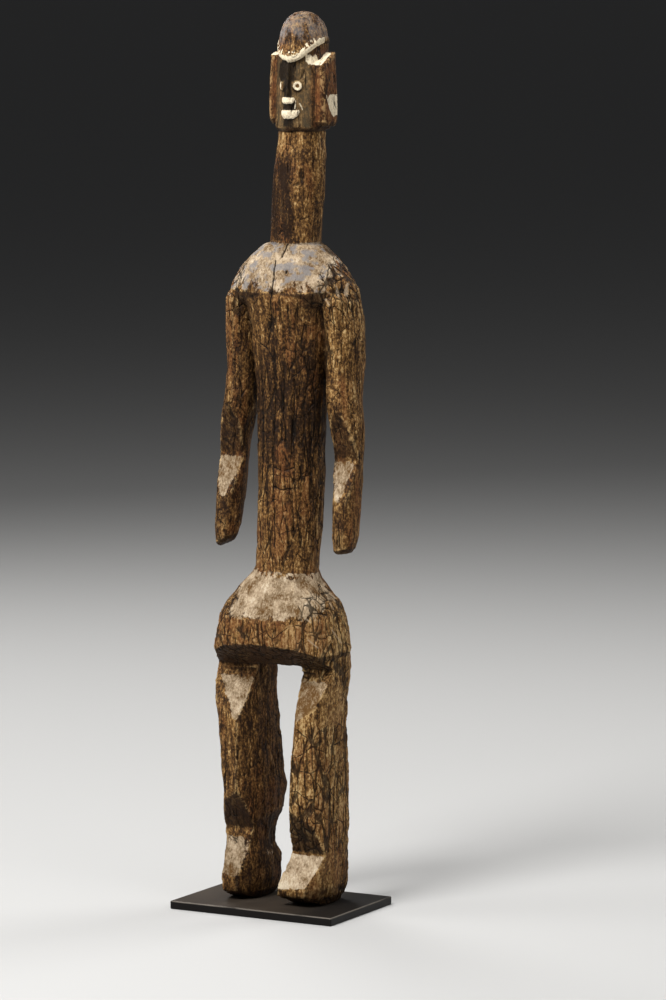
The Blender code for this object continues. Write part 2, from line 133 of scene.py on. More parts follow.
class Tree:
    """Writes nodes into a shader tree or a geometry tree, which share the nodes used here."""

    def __init__(self, tree: bpy.types.NodeTree) -> None:
        """Starts writing into a tree."""
        self.tree = tree
        self.shading = tree.bl_idname == "ShaderNodeTree"

    def feed(self, socket: bpy.types.NodeSocket, value: object) -> None:
        """Links or sets one input.

        Args:
            socket: The input.
            value: A Field, a socket, or a plain value.
        """
        if isinstance(value, Field):
            self.tree.links.new(value.socket, socket)
        elif isinstance(value, bpy.types.NodeSocket):
            self.tree.links.new(value, socket)
        else:
            socket.default_value = value

    def node(
        self,
        kind: str,
        settings: Optional[dict[str, object]] = None,
        sockets: Optional[dict[Union[str, int], object]] = None,
    ) -> bpy.types.Node:
        """Adds any node: its settings are set first, then its inputs.

        Args:
            kind: The node's type.
            settings: The node's own settings; stops is the list of a ramp's places and colours.
            sockets: Inputs by name or number, each with a value, a socket or a Field.

        Returns:
            The node.
        """
        made = self.tree.nodes.new(kind)
        for name, value in (settings or {}).items():
            if name == "stops":
                self.set_stops(made.color_ramp, value)
            else:
                setattr(made, name, value)
        for name, value in (sockets or {}).items():
            self.feed(made.inputs[name], value)
        return made

    @staticmethod
    def set_stops(ramp: bpy.types.ColorRamp, stops: Sequence[tuple[float, Colour]]) -> None:
        """Gives a colour ramp its stops.

        Args:
            ramp: The ramp.
            stops: Places from 0 to 1, each with its colour.
        """
        while len(ramp.elements) < len(stops):
            ramp.elements.new(1.0)
        for element, (place, colour) in zip(ramp.elements, stops):
            element.position = place
            element.color = colour

    def number(self, kind: str, settings: dict[str, object], sockets: dict[Union[str, int], object]) -> Field:
        """Adds any node whose first output is a number."""
        return Field(self, self.node(kind, settings, sockets).outputs[0])

    def math(self, operation: str, first: Number, second: Number = 0.0, clamp: bool = False) -> Field:
        """The number that one Math node gives, kept between 0 and 1 where it is clamped."""
        settings = {"operation": operation, "use_clamp": clamp}
        return self.number("ShaderNodeMath", settings, {0: first, 1: second})

    def largest(self, *fields: Field) -> Field:
        """The largest of several fields at each place."""
        return reduce(lambda one, other: self.math("MAXIMUM", one, other), fields)

    def smallest(self, *fields: Field) -> Field:
        """The smallest of several fields at each place."""
        return reduce(lambda one, other: self.math("MINIMUM", one, other), fields)

    def step(self, value: Number, start: float, end: float) -> Field:
        """A smooth step from 0 at start to 1 at end, which may be the lower of the two."""
        sockets = {0: value, 1: start, 2: end, 3: 0.0, 4: 1.0}
        return self.number("ShaderNodeMapRange", {"interpolation_type": "SMOOTHSTEP"}, sockets)

    def vector_math(self, operation: str, first: object, second: object = None) -> bpy.types.Node:
        """Adds one Vector Math node.

        Args:
            operation: What the node does.
            first: Its first vector.
            second: Its second vector where it takes one, or the factor of a SCALE.

        Returns:
            The node.
        """
        sockets = {0: first}
        if second is not None:
            sockets["Scale" if operation == "SCALE" else 1] = second
        return self.node("ShaderNodeVectorMath", {"operation": operation}, sockets)

    def vector(self, operation: str, first: object, second: object = None) -> bpy.types.NodeSocket:
        """The vector that one Vector Math node gives."""
        return self.vector_math(operation, first, second).outputs[0]

    def measure(self, operation: str, first: object, second: object = None) -> Field:
        """The number that one Vector Math node gives, as LENGTH and DOT_PRODUCT do."""
        return Field(self, self.vector_math(operation, first, second).outputs["Value"])

    def place(self) -> bpy.types.NodeSocket:
        """The place on the piece in millimetres.

        Returns:
            The place.
        """
        if self.shading:
            metres = self.node("ShaderNodeTexCoord").outputs["Object"]
        else:
            metres = self.node("GeometryNodeInputPosition").outputs[0]
        return self.stretched(metres, (MM, MM, MM))

    def split(self, vector: bpy.types.NodeSocket) -> tuple[Field, Field, Field]:
        """The three parts of a vector."""
        made = self.node("ShaderNodeSeparateXYZ", None, {0: vector})
        return Field(self, made.outputs[0]), Field(self, made.outputs[1]), Field(self, made.outputs[2])

    def kept(self, name: "Kept") -> Field:
        """A number kept with the mesh's points.

        Args:
            name: What it is kept as.

        Returns:
            The number.
        """
        if self.shading:
            made = self.node("ShaderNodeAttribute", {"attribute_name": name.value})
            return Field(self, made.outputs["Fac"])
        made = self.node("GeometryNodeInputNamedAttribute", {"data_type": "FLOAT"}, {"Name": name.value})
        return Field(self, made.outputs[0])

    def kept_vector(self, name: "Kept") -> bpy.types.NodeSocket:
        """A vector kept with the mesh's points.

        Args:
            name: What it is kept as.

        Returns:
            The vector.
        """
        if self.shading:
            return self.node("ShaderNodeAttribute", {"attribute_name": name.value}).outputs["Vector"]
        kind = {"data_type": "FLOAT_VECTOR"}
        return self.node("GeometryNodeInputNamedAttribute", kind, {"Name": name.value}).outputs[0]

    def stretched(self, place: object, cell: Point, shift: float = 0.0) -> bpy.types.NodeSocket:
        """Texture coordinates in which one unit is a cell of the given size.

        Args:
            place: The place in millimetres.
            cell: The cell's width, depth and height in millimetres.
            shift: Moves the pattern, so that two of the same size differ.

        Returns:
            The coordinates.
        """
        scale = tuple(1 / size for size in cell)
        move = (shift, shift * 1.7, shift * 0.6)
        if self.shading:
            sockets = {"Vector": place, "Location": move, "Scale": scale}
            return self.node("ShaderNodeMapping", None, sockets).outputs[0]
        scaled = self.vector("MULTIPLY", place, scale)
        return self.vector("ADD", scaled, move) if shift else scaled

    def clouds(
        self, place: object, cell: Point, detail: float = 2.0, rough: float = 0.5, shift: float = 0.0
    ) -> bpy.types.Node:
        """Adds one soft noise texture.

        Args:
            place: The place in millimetres.
            cell: The size of its lumps in millimetres.
            detail: How many finer layers it has.
            rough: How strong the finer layers are.
            shift: Moves the pattern.

        Returns:
            The node.
        """
        at = self.stretched(place, cell, shift)
        sockets = {"Vector": at, "Scale": 1.0, "Detail": detail, "Roughness": rough}
        return self.node("ShaderNodeTexNoise", {"noise_dimensions": "3D"}, sockets)

    def noise(
        self, place: object, cell: Point, detail: float = 2.0, rough: float = 0.5, shift: float = 0.0
    ) -> Field:
        """Soft noise, from 0 to 1 round 0.5."""
        return Field(self, self.clouds(place, cell, detail, rough, shift).outputs[0])

    def warped(self, place: object, cell: Point, reach: float, shift: float = 0.0) -> bpy.types.NodeSocket:
        """The place, pushed up to a reach by noise, so that what is drawn from it wanders."""
        centred = self.vector("SUBTRACT", self.clouds(place, cell, shift=shift).outputs[1], (0.5, 0.5, 0.5))
        return self.vector("ADD", place, self.vector("SCALE", centred, reach * 2))

    def cells(
        self, place: object, cell: Point, feature: str = "F1", shift: float = 0.0
    ) -> bpy.types.Node:
        """Cells round scattered points, with the distance to a point (F1) or to DISTANCE_TO_EDGE."""
        sockets = {"Vector": self.stretched(place, cell, shift), "Scale": 1.0}
        return self.node("ShaderNodeTexVoronoi", {"voronoi_dimensions": "3D", "feature": feature}, sockets)

    def chance(self, cells: bpy.types.Node) -> Field:
        """A number from 0 to 1 that is the same all over a cell and differs between cells."""
        return self.split(cells.outputs["Color"])[0]

    def nearest(self, place: bpy.types.NodeSocket, marks: Sequence["Mark"]) -> Field:
        """The distance in millimetres to the nearest of several marks on one face.

        Args:
            place: The place as that face shows it.
            marks: The marks.

        Returns:
            The distance.
        """
        result = None
        for mark in marks:
            points = [Vector((across, 0, up)) for across, up in mark.points]
            for start, end in zip(points, points[1:]):
                part = self.from_part(place, start, end)
                result = part if result is None else self.math("MINIMUM", result, part)
        return result

    def from_part(self, place: object, start: Vector, end: Vector) -> Field:
        """The distance in millimetres to one straight part of a line.

        Args:
            place: The place in millimetres.
            start: The part's first end.
            end: The part's other end.

        Returns:
            The distance.
        """
        run = end - start
        away = self.vector("SUBTRACT", place, tuple(start))
        along = self.measure("DOT_PRODUCT", away, tuple(run / run.length_squared)).clamped()
        foot = self.vector("SCALE", tuple(run), along)
        return self.measure("LENGTH", self.vector("SUBTRACT", away, foot))

    def blend(self, share: Number, low: object, high: object) -> bpy.types.NodeSocket:
        """The second colour laid over the first, by a share from 0 to 1."""
        settings = {"data_type": "RGBA", "blend_type": "MIX", "clamp_factor": True}
        return self.node("ShaderNodeMix", settings, {0: share, 6: low, 7: high}).outputs[2]

    def ramp(self, value: Number, *stops: tuple[float, Colour]) -> bpy.types.NodeSocket:
        """A colour picked along a ramp."""
        return self.node("ShaderNodeValToRGB", {"stops": stops}, {0: value}).outputs[0]

    def bumped(self, strength: float, distance: float, height: Field) -> bpy.types.NodeSocket:
        """The normal, tilted by fine relief of the given depth in metres."""
        sockets = {"Strength": strength, "Distance": distance, "Height": height}
        return self.node("ShaderNodeBump", None, sockets).outputs[0]

    def surface(self, sockets: dict[str, object]) -> None:
        """Ends a material in one Principled surface."""
        made = self.node("ShaderNodeBsdfPrincipled", None, sockets)
        self.node("ShaderNodeOutputMaterial", None, {"Surface": made.outputs[0]})


@dataclass(frozen=True)
class Finish:
    """How a surface looks: a name, and what each kind of finish feeds into its one surface."""

    name: str

    def build(self) -> bpy.types.Material:
        """Makes the material.

        Returns:
            The material.
        """
        material = bpy.data.materials.new(self.name)
        material.use_nodes = True
        material.node_tree.nodes.clear()
        tree = Tree(material.node_tree)
        tree.surface(self.sockets(tree))
        return material

    def sockets(self, tree: Tree) -> dict[str, object]:
        """What feeds the surface."""
        raise NotImplementedError


class Kept(Enum):
    """What is kept with the mesh's points for the relief and the finish to share."""

    EDGE = "edge"
    FACING = "facing"
    SKY = "sky"
    SHADE = "shade"
    CRACKED = "cracked"
    DUST = "dust"
    PALE = "pale"
    PAINT = "paint"
    RIM = "rim"
    SOOT = "soot"
    TINTS = "tints"
    WANDER = "wander"


class Face(Enum):
    """A way of looking straight at the wood, as the level direction that runs across it."""

    FRONT = (1.0, 0.0)
    LEFT_FRONT = (0.768, 0.64)


@dataclass(frozen=True)
class Mark:
    """A line cut or split into the wood: its points across and up a face, in millimetres."""

    points: tuple[tuple[float, float], ...]
    face: Face = Face.FRONT


DEEP_SPLITS = (
    Mark(((12.4, 779), (15.7, 753), (14.0, 735), (11.5, 705), (5.5, 680))),
    Mark(((24.5, 797), (20.0, 783))),
)
TRUNK_LINES = (
    Mark(((-34, 706), (-22, 690), (-6, 681), (4, 676), (12, 664))),
    Mark(((12.0, 668), (12.7, 638), (13.2, 600), (11.0, 520), (12.5, 440))),
    Mark(((37.5, 640), (34.8, 568), (36.5, 531), (33.0, 510), (34.4, 452))),
    Mark(((51.0, 600), (49.5, 520), (53.0, 480), (47.0, 425))),
    Mark(((-8.0, 660), (-5.0, 560), (-9.0, 500))),
    Mark(((26.0, 655), (24.0, 600), (27.0, 560))),
    Mark(((13.0, 534), (24.0, 531), (35.0, 535))),
    Mark(((12.5, 512), (24.0, 508), (34.0, 511))),
)
SCRATCHES = (
    Mark(((27.7, 378.8), (32.7, 369.9)), Face.LEFT_FRONT),
    Mark(((15.8, 359.4), (21.4, 354.7)), Face.LEFT_FRONT),
    Mark(((18.6, 333.7), (30.4, 324.0)), Face.LEFT_FRONT),
    Mark(((49.6, 343.2), (63.0, 325.8)), Face.LEFT_FRONT),
    Mark(((49.7, 373.0), (54.0, 366.0)), Face.LEFT_FRONT),
)
FLAKES = (
    Mark(((53.0, 750), (56.0, 738)), Face.LEFT_FRONT),
    Mark(((67.5, 752), (66.2, 741)), Face.LEFT_FRONT),
    Mark(((41.0, 735), (43.0, 729)), Face.LEFT_FRONT),
    Mark(((60.5, 764), (65.0, 760)), Face.LEFT_FRONT),
)
PAINT_STROKES = (
    Mark(((33.4, 966.0), (32.8, 957.0))),
    Mark(((37.6, 963.4), (40.6, 955.5))),
)
NAIL_HOLE = Mark(((29.7, 766.2), (29.7, 765.4)))


class Carving:
    """What the carved surface shows. Relief and finish share it, so that grooves and dark lines meet."""

    def __init__(self, tree: Tree) -> None:
        """Reads the place on the piece in a tree.

        Args:
            tree: The tree of the relief or of the finish.
        """
        self.tree = tree
        self.place = tree.place()
        self.wander = tree.kept_vector(Kept.WANDER)
        self.x, self.y, self.z = tree.split(self.place)
        self.cracked = tree.kept(Kept.CRACKED)

    def network(self, cell: Point, width: float, shift: float) -> Field:
        """1 in the lines between cells, in places wider and in places closed up.

        Args:
            cell: The size of a cell in millimetres.
            width: Half the usual width of a line in millimetres.
            shift: Moves the pattern.

        Returns:
            The lines.
        """
        tree = self.tree
        fade = tree.noise(self.place, (12, 12, 24), 2.0, 0.6, shift=shift + 3.0) - 0.5
        open_by = (1.0 + fade * 5.0 + (self.cracked - 0.75) * 1.6) * width
        lines = tree.cells(self.wander, cell, "DISTANCE_TO_EDGE", shift=shift).outputs["Distance"]
        return (Field(tree, lines) * cell[0] - open_by).below(0.0, 0.3) * open_by.above(0.12, 0.1)

    def blocks(self) -> Field:
        """1 in the cracks: long ones along the grain, and fewer short ones that cross them.

        Returns:
            The cracks.
        """
        along = self.network((10.5, 10.5, 66), 0.46, 0.0)
        across = self.network((19, 19, 23), 0.34, 5.5)
        return self.tree.largest(along, across)

    def flat(self, face: Face, reach: float) -> bpy.types.NodeSocket:
        """The place as a face shows it, a little pushed about so that a line drawn there wanders.

        Args:
            face: The face.
            reach: How far the place may be pushed, in millimetres.

        Returns:
            The place, with nothing left of its depth.
        """
        tree = self.tree
        push = (tree.noise(self.place, (7, 7, 11), 2.0, shift=5.0) - 0.5) * (reach * 3)
        across = self.x * face.value[0] + self.y * face.value[1] + push
        made = tree.node("ShaderNodeCombineXYZ", None, {0: across, 1: 0.0, 2: self.z - push})
        return made.outputs[0]

    def splits(self) -> Field:
        """1 in the long splits of the mantle, the chest and the trunk, and in the mantle's small hole.

        Returns:
            The splits.
        """
        tree = self.tree
        place = self.flat(Face.FRONT, 1.2)
        deep = tree.nearest(place, DEEP_SPLITS).below(1.0, 0.5)
        broken = tree.noise(self.place, (9, 9, 26), 2.0, shift=6.0).above(0.4, 0.08)
        lines = tree.nearest(place, TRUNK_LINES).below(0.75, 0.5) * (0.35 + broken * 0.65)
        hole = tree.nearest(place, (NAIL_HOLE,)).below(1.6, 0.4)
        return tree.largest(deep, lines, hole) * self.y.below(-8, 6)

    def scallops(self) -> Field:
        """Hollows that the adze left, each meeting the next in a low ridge: 0 in a hollow, 1 on a ridge.

        Returns:
            The hollows and ridges.
        """
        cells = self.tree.cells(self.wander, (15, 15, 31), "F1", shift=2.0)
        near = Field(self.tree, cells.outputs["Distance"])
        return (near * near * 1.3).clamped()

    def lumps(self) -> Field:
        """The slow unevenness of the whole surface."""
        return self.tree.noise(self.place, (26, 26, 44), 2.0, shift=1.3)

    def fibre(self) -> Field:
        """Coarse upright fibre of the wood."""
        return self.tree.noise(self.wander, (2.6, 2.6, 34), 3.0, 0.6, shift=7.0)


class Zones:
    """What each part of the figure has gone through, and the light and shade painted on it, as smooth fields
    that are kept with its points.

    The numbers in each field are that part's heights, its places across and the width of its soft
    edge, all in millimetres, and then how much of the field it has.
    """

    BODY_AXIS = 15
    HEAD_AXIS = 26
    CAP_FOOT = 1028
    RIM_CENTRE = (26.4, 10.5)
    RIM_REACH = (28.6, 39.2)
    RIM_TOP = 1034.3
    RIM_FALL = 22.3
    RIDGE_X = 25.9
    RIDGE_Y = -27.6
    CHEEK_SLOPE = 0.67

    def __init__(self, tree: Tree, facing: Field) -> None:
        """Reads the place on the piece in a geometry tree, with how far each point faces up.

        Args:
            tree: The geometry tree.
            facing: How far each point faces up.
        """
        self.tree = tree
        self.facing = facing
        self.place = tree.place()
        self.x, self.y, self.z = tree.split(self.place)

    @staticmethod
    def within(value: Field, low: float, high: float) -> Field:
        """How far a number lies between two limits: negative outside them."""
        return value.tree.smallest(value - low, high - value)

    def head(self) -> Field:
        """1 on the head above the neck."""
        return self.z.above(934, 2)

    def pale_cuts(self) -> Field:
        """1 on the cut planes that stay whole, without cracks across them.

        Returns:
            The planes.
        """
        x, z = self.x, self.z
        mantle = z.between(742, 800, 6) * abs(x - 22).below(46, 14)
        pelvis = z.between(358, 404, 4) * abs(x - 8).below(40, 8)
        elbows = z.between(474, 545, 4) * abs(x - self.BODY_AXIS).above(56, 5)
        thighs = z.between(228, 281, 4)
        feet = z.between(22, 74, 3)
        return self.tree.largest(mantle, pelvis, elbows, thighs, feet) * self.y.below(5, 8)

    def cracked(self) -> Field:
        """How far the surface has cracked, from part to part of the figure.

        Returns:
            The share, which is below 0 where nothing cracks.
        """
        x, z = self.x, self.z
        left_leg = x.above(26, 8) * z.below(318, 14) * 0.9
        hips = z.between(300, 392, 16) * abs(x - 8).above(36, 14) * 0.8
        shoulders = z.between(704, 792, 26) * abs(x - self.BODY_AXIS).above(46, 18)
        trunk = z.between(410, 690, 40) * abs(x - 14).below(46, 8) * 0.5
        chest = z.between(655, 735, 20) * abs(x - 14).below(54, 10) * 0.3
        belly = z.between(306, 352, 10) * 0.6
        neck = z.between(800, 935, 10) * 0.1
        right_leg = x.below(-10, 14) * z.below(310, 14) * 0.2
        arms = z.between(430, 720, 20) * abs(x - self.BODY_AXIS).above(50, 6) * 0.3
        most = self.tree.largest(left_leg, hips, shoulders, trunk, chest, belly, neck, right_leg, arms)
        return most - self.pale_cuts() * 1.3

    def shade(self) -> Field:
        """How much lighter or darker than the rest whole parts of the figure are, from their own tone and
        from painted light and shade.

        Returns:
            What is added to the tone, which is below 0 for darker.
        """
        x, y, z = self.x, self.y, self.z
        trunk = abs(x - self.BODY_AXIS).below(50, 5)
        # Painted shade on the trunk between the arms, under the mantle.
        shade_between_arms = z.between(548, 672, 36) * trunk * -0.28
        belly = z.between(400, 500, 30) * trunk * 0.03
        # Painted shade on the figure's right arm and painted light on its left arm, as the light falls.
        right_arm = z.between(430, 730, 12) * x.below(-36, 4) * -0.07
        left_arm = z.between(560, 730, 30) * x.above(66, 4) * 0.04
        hands = z.between(428, 466, 10) * abs(x - self.BODY_AXIS).above(55, 6) * 0.06
        # Painted shade on the inner side of the right leg, between the legs.
        inner = z.below(300, 8) * x.between(-34, -2, 7) * -0.1
        left_leg = z.below(300, 10) * x.above(28, 8) * 0.2
        shins = z.below(110, 40) * -0.05
        ears = self.head() * abs(x - self.HEAD_AXIS).above(19, 3) * z.below(self.CAP_FOOT, 3) * -0.13
        face = self.head() * abs(x - self.HEAD_AXIS).below(19, 3) * z.below(1006, 6) * 0.05
        hips = z.between(300, 386, 12) * x.above(40, 8) * 0.19
        band = z.between(312, 352, 6) * 0.12
        shoulders = z.between(694, 752, 20) * abs(x - self.BODY_AXIS).above(50, 6) * 0.13
        collar = z.between(902, 936, 8) * 0.09
        dome = z.above(1032, 4) * -0.06
        stain = z.between(802, 900, 16) * (x + y * 0.5).below(18, 5) * -0.42
        parts = (shade_between_arms, belly, right_arm, left_arm, hands, inner, left_leg, shins, ears, face, hips)
        return sum(parts + (band, shoulders, collar, dome, stain), 0.0)

    def dust(self) -> Field:
        """How far inside the pale deposit and painted top light on up-facing cuts a point lies, in shares of
        how ragged its edge is there.

        Returns:
            The distance, which is below 0 outside the deposit.
        """
        tree = self.tree
        within = self.within
        x, z = self.x, self.z
        side = abs(x - self.BODY_AXIS)
        mantle = tree.smallest((z - 746) / 42, (803 - z) / 6, (62 - side) / 28)
        pelvis = tree.smallest((z - 357) / 18, (410 - z) / 6, (54 - side) / 12)
        left_limit = (104 - (545 - z) * 0.22 - x) / 4
        right_limit = (x.above(20, 5) * 400 - 46 - (537 - z) * 0.45 - x) / 4
        elbows = tree.smallest(within(z, 455, 545) / 5, left_limit, right_limit)
        thighs = tree.smallest(within(z, 225, 280), x + 67.8 - (278 - z) * 0.6) / 6
        feet = within(z, 20, 86) / 6
        lies = tree.largest(mantle, pelvis, elbows, thighs, feet)
        facing = self.facing + z.below(100, 8) * x.below(-34, 5) * 0.13
        # Only what faces up takes the pale deposit, which is also painted top light.
        return tree.smallest(lies, (facing - 0.25) / 0.3, (14 - self.y) / 16)

    def pale(self) -> Field:
        """How much paler or browner than the rest the pale deposit and its painted top light are from part to
        part.

        Returns:
            What is added to the deposit's tone.
        """
        x, z = self.x, self.z
        mantle = z.above(740, 8) * -0.12
        pelvis = z.between(350, 415, 8) * -0.1
        elbows = z.between(415, 735, 6) * -0.2
        thighs = z.between(110, 340, 8) * (x.above(26, 8) * -0.2 - 0.12)
        feet = z.below(100, 8) * (0.06 - x.below(-30, 5) * 0.17)
        return mantle + pelvis + elbows + thighs + feet

    def rim(self) -> Field:
        """How far above the painted edge of the cap a point lies, which drops to a peak over the nose.

        Returns:
            The height over that edge in millimetres.
        """
        tree = self.tree
        across = (self.x - self.RIM_CENTRE[0]) / self.RIM_REACH[0]
        ahead = (self.y - self.RIM_CENTRE[1]) / self.RIM_REACH[1]
        turn = -ahead / tree.math("SQRT", across * across + ahead * ahead)
        drop = tree.math("MAXIMUM", turn, 0.0) ** 1.6 * self.RIM_FALL
        return self.z - (self.RIM_TOP - drop)

    def paint(self) -> Field:
        """How far inside the white paint of the ears and lips a point lies, in millimetres.

        Returns:
            The distance, which is below 0 outside the paint.
        """
        tree, within = self.tree, self.within
        x, y, z = self.x, self.y, self.z
        up = (self.facing - 0.55) * 6
        left_top = tree.smallest(up, within(x, 44.5, 61.0), within(z, 1006, 1022))
        right_top = tree.smallest(up, 4 - x, within(z, 1012, 1022))
        corner = tree.smallest(within(x, 42.0, 52.0), within(z, 1008.0, 1020.0), within(y, -16, -2))
        slant = (y + (z - 950.4) * 0.56 - 4.5) * 0.87
        patch = tree.smallest(x - 62, within(z, 947, 973), slant)
        off = abs(x - self.RIDGE_X)
        out = (self.RIDGE_Y + off * self.CHEEK_SLOPE) - y - 0.9
        high = tree.largest(within(z, 962.4, 969.9), within(z, 945.0, 955.0))
        lips = tree.smallest(out * 2, high, within(x, 15.5, 39.5))
        return tree.largest(left_top, right_top, corner, patch, lips)

    def soot(self) -> Field:
        """How far inside the soot of the nose, brow, mouth and chin a point lies, in millimetres.

        Returns:
            The distance, which is below 0 outside the soot.
        """
        tree, within = self.tree, self.within
        x, y, z = self.x, self.y, self.z
        nose = tree.smallest(within(x, 17.5, 30.5), within(z, 969, 1012), -18 - y)
        brow = tree.smallest(within(x, 6, 33), within(z, 988, 1014), -8 - y)
        mouth = tree.smallest(within(x, 16, 34), within(z, 954, 963.5), -15 - y)
        chin = tree.smallest(within(x, 17, 31), within(z, 934, 946), -12 - y)
        return tree.largest(nose, brow, mouth, chin)

    def tints(self) -> bpy.types.NodeSocket:
        """How rusty and how olive each part is, and how much painted bluish sheen lies on it, as a vector's
        three parts.

        Returns:
            The vector.
        """
        x, y, z = self.x, self.y, self.z
        strip = z.between(470, 560, 10) * x.between(12, 34, 3) * y.below(0, 4) * 0.32
        band = z.between(315, 356, 5) * y.below(-25, 12) * 0.45
        left_ear = self.head() * x.above(49, 2) * z.below(self.CAP_FOOT, 3) * 0.5
        right_ear = self.head() * x.below(2, 2) * z.below(self.CAP_FOOT, 3) * 0.4
        rust = self.tree.largest(strip, band, left_ear, right_ear)
        olive = self.head() * abs(x - self.HEAD_AXIS).below(23, 3) * z.below(1020, 8) * 0.5
        # Painted bluish sheen over the dome, strongest on its left.
        slate_sheen = z.above(1036, 5) * (0.34 + (x + y * 0.3).below(14, 12) * 0.36)
        return self.tree.node("ShaderNodeCombineXYZ", None, {0: rust, 1: olive, 2: slate_sheen}).outputs[0]


class Relief:
    """Geometry nodes that carve the even skin, and keep what the finish needs with its points."""

    SPREAD_STEPS = 14

    def __init__(self, name: str) -> None:
        """Makes an empty tree with geometry in and out.

        Args:
            name: The tree's name.
        """
        group = bpy.data.node_groups.new(name, "GeometryNodeTree")
        group.interface.new_socket("Geometry", in_out="INPUT", socket_type="NodeSocketGeometry")
        group.interface.new_socket("Geometry", in_out="OUTPUT", socket_type="NodeSocketGeometry")
        self.group = group
        self.tree = Tree(group)
        self.geometry = self.tree.node("NodeGroupInput").outputs[0]

    @staticmethod
    def value_of(sockets: Iterable[bpy.types.NodeSocket]) -> bpy.types.NodeSocket:
        """The value that a node shows, of those that it holds for each kind."""
        return next(socket for socket in sockets if socket.enabled and socket.name == "Value")

    def blurred(self, kind: str, value: object, steps: int) -> bpy.types.NodeSocket:
        """A value evened out over its neighbours.

        Args:
            kind: FLOAT or FLOAT_VECTOR.
            value: What is evened out.
            steps: How often, one point further each time.

        Returns:
            The evened value.
        """
        made = self.tree.node("GeometryNodeBlurAttribute", {"data_type": kind}, {"Iterations": steps})
        self.tree.feed(self.value_of(made.inputs), value)
        return self.value_of(made.outputs)

    def keep(self, name: Kept, value: object, kind: str = "FLOAT") -> None:
        """Keeps a value at each point.

        Args:
            name: What it is kept as.
            value: The value.
            kind: FLOAT or FLOAT_VECTOR.
        """
        made = self.tree.node(
            "GeometryNodeStoreNamedAttribute",
            {"data_type": kind, "domain": "POINT"},
            {"Geometry": self.geometry, "Name": name.value},
        )
        self.tree.feed(self.value_of(made.inputs), value)
        self.geometry = made.outputs[0]

    def build(self) -> bpy.types.NodeTree:
        """Writes the whole tree: keeps the fields, softens the worn ridges and carves the rest.

        Returns:
            The node group.
        """
        tree = self.tree
        normal = tree.node("GeometryNodeInputNormal").outputs[0]
        position = tree.node("GeometryNodeInputPosition").outputs[0]
        even = self.blurred("FLOAT_VECTOR", position, self.SPREAD_STEPS)
        edge = tree.measure("DOT_PRODUCT", tree.vector("SUBTRACT", position, even), normal) / MM
        facing = tree.split(self.blurred("FLOAT_VECTOR", normal, 2))[2]
        zones = Zones(tree, facing)
        fields = {
            Kept.EDGE: edge,
            Kept.FACING: facing,
            Kept.CRACKED: zones.cracked(),
            Kept.SHADE: zones.shade(),
            Kept.DUST: zones.dust(),
            Kept.PALE: zones.pale(),
            Kept.RIM: zones.rim(),
            Kept.PAINT: zones.paint(),
            Kept.SOOT: zones.soot(),
        }
        for name, value in fields.items():
            self.keep(name, value)
        self.keep(Kept.TINTS, zones.tints(), "FLOAT_VECTOR")
        self.keep(Kept.WANDER, tree.warped(zones.place, (14, 14, 20), 2.6), "FLOAT_VECTOR")
        softer = tree.vector("SUBTRACT", even, position)
        softened = tree.vector("SCALE", softer, self.ridges(zones.z) * 0.9)
        offset = tree.vector("ADD", tree.vector("SCALE", normal, self.rise() * MM), softened)
        sockets = {"Geometry": self.geometry, "Offset": offset}
        carved = tree.node("GeometryNodeSetPosition", None, sockets)
        tree.node("NodeGroupOutput", None, {0: carved.outputs[0]})
        return self.group

    def ridges(self, z: Field) -> Field:
        """1 along the mantle's edge and the pelvis ridge, which are worn round and ragged."""
        return self.tree.largest(z.between(728, 752, 8), z.between(344, 362, 6))

    def rise(self) -> Field:
        """How far each point moves outwards, in millimetres.

        Returns:
            The distance, which is negative in hollows and cracks.
        """
        tree = self.tree
        carving = Carving(tree)
        z = carving.z
        body = z.below(935, 8)
        feet = z.above(14, 3)
        edge = tree.kept(Kept.EDGE)
        scallops = (carving.scallops() - 0.42) * (0.35 + 1.0 * body)
        lumps = (carving.lumps() - 0.5) * (1.2 + 2.2 * body)
        blocks = carving.blocks() * -0.8
        splits = carving.splits() * -1.7
        fibre = (carving.fibre() - 0.5) * 0.7 * body
        worn = tree.noise(carving.place, (6, 6, 10), 2.0, shift=9.0).above(0.52, 0.12)
        crumble = edge.above(0.25, 0.3) * worn * body * -1.1
        level = z + (tree.noise(carving.place, (22, 22, 40), 2.0, shift=31.0) - 0.5) * 22
        brow = (level.between(724, 738, 5) * 1.3 - level.between(740, 749, 4) * 1.4) * carving.y.below(0, 12)
        ridges = self.ridges(z)
        ragged = (tree.noise(carving.place, (13, 13, 22), 3.0, 0.6, shift=29.0) - 0.5) * 8.0 * ridges
        return (scallops + lumps + blocks + splits + fibre + crumble + brow + ragged) * feet


